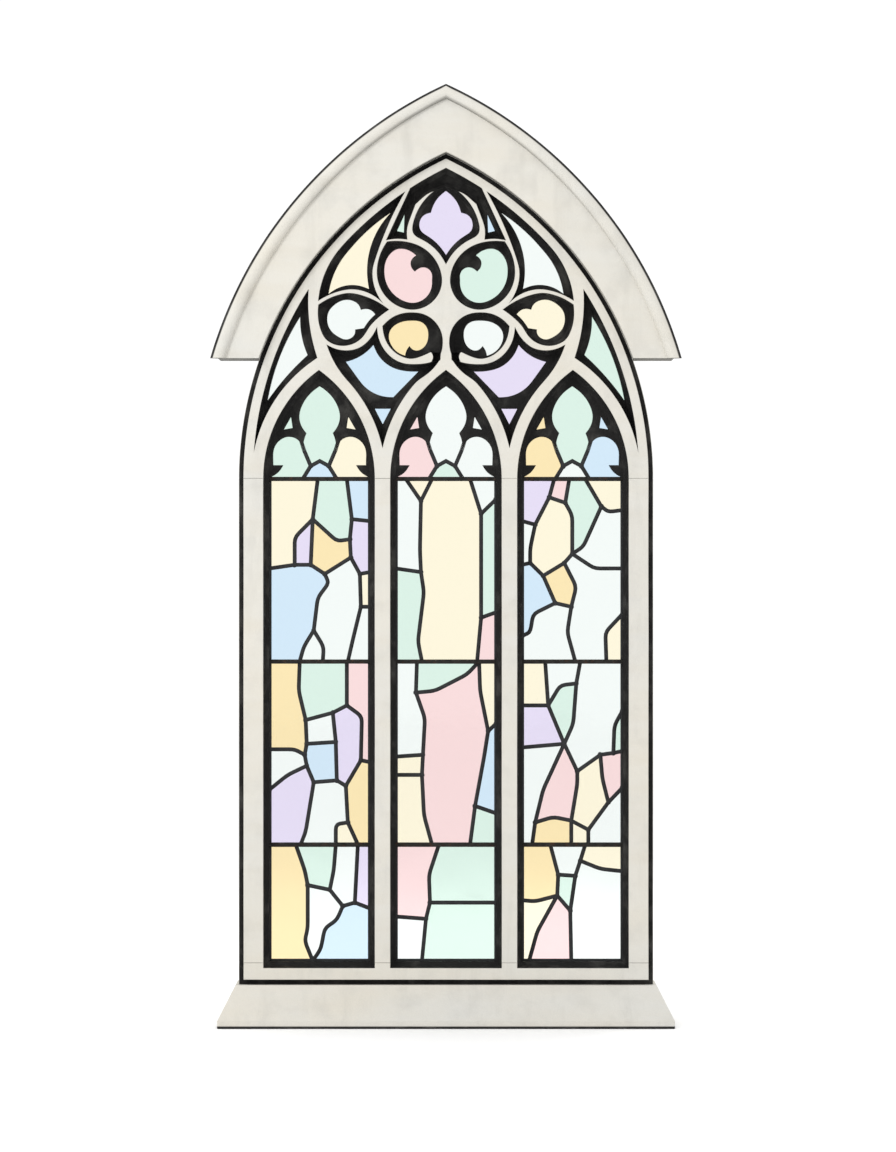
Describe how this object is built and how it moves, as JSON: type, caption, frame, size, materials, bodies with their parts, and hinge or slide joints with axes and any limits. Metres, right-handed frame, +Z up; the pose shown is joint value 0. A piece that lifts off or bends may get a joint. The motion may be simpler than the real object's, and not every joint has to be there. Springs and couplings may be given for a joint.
{
  "type": "stained glass window",
  "caption": "Pointed limestone church window with mullioned lights, cusped heads, flowing tracery, a hood band, a sloping sill and leaded cathedral glass held by iron saddle bars.",
  "frame": {"origin": "middle of the sill's underside", "axes": "+Z up; -Y out of the face of the window, towards the viewer; +X to the viewer's right"},
  "size_m": [1.8826, 0.48, 3.765],
  "materials": {
    "limestone": "weathered, dressed",
    "cathedral_glass": "lightly tinted, wavy",
    "lead": "dull grey lead came",
    "wrought_iron": "dark, forged"
  },
  "bodies": {
    "root": {"bottom_rail": "limestone", "glass_eyelet_left": "cathedral_glass", "glass_eyelet_right": "cathedral_glass", "glass_left_head": "cathedral_glass", "glass_left_low": "cathedral_glass", "glass_left_middle": "cathedral_glass", "glass_left_top": "cathedral_glass", "glass_lower_foil_left": "cathedral_glass", "glass_lower_foil_right": "cathedral_glass", "glass_lunette_left": "cathedral_glass", "glass_lunette_right": "cathedral_glass", "glass_middle_head": "cathedral_glass", "glass_middle_low": "cathedral_glass", "glass_middle_middle": "cathedral_glass", "glass_middle_top": "cathedral_glass", "glass_mouchette_left": "cathedral_glass", "glass_mouchette_right": "cathedral_glass", "glass_right_head": "cathedral_glass", "glass_right_low": "cathedral_glass", "glass_right_middle": "cathedral_glass", "glass_right_top": "cathedral_glass", "glass_side_foil_left": "cathedral_glass", "glass_side_foil_right": "cathedral_glass", "glass_soufflet": "cathedral_glass", "glass_spandrel_left": "cathedral_glass", "glass_spandrel_right": "cathedral_glass", "glass_upper_foil_left": "cathedral_glass", "glass_upper_foil_right": "cathedral_glass", "hood": "limestone", "jamb_left": "limestone", "jamb_right": "limestone", "leads_left_head": "lead", "leads_left_low": "lead", "leads_left_middle": "lead", "leads_left_top": "lead", "leads_middle_head": "lead", "leads_middle_low": "lead", "leads_middle_middle": "lead", "leads_middle_top": "lead", "leads_right_head": "lead", "leads_right_low": "lead", "leads_right_middle": "lead", "leads_right_top": "lead", "mullion_left": "limestone", "mullion_right": "limestone", "saddle_bar_left_high": "wrought_iron", "saddle_bar_left_low": "wrought_iron", "saddle_bar_left_top": "wrought_iron", "saddle_bar_middle_high": "wrought_iron", "saddle_bar_middle_low": "wrought_iron", "saddle_bar_middle_top": "wrought_iron", "saddle_bar_right_high": "wrought_iron", "saddle_bar_right_low": "wrought_iron", "saddle_bar_right_top": "wrought_iron", "sill": "limestone", "tracery": "limestone"}
  },
  "joints": []
}
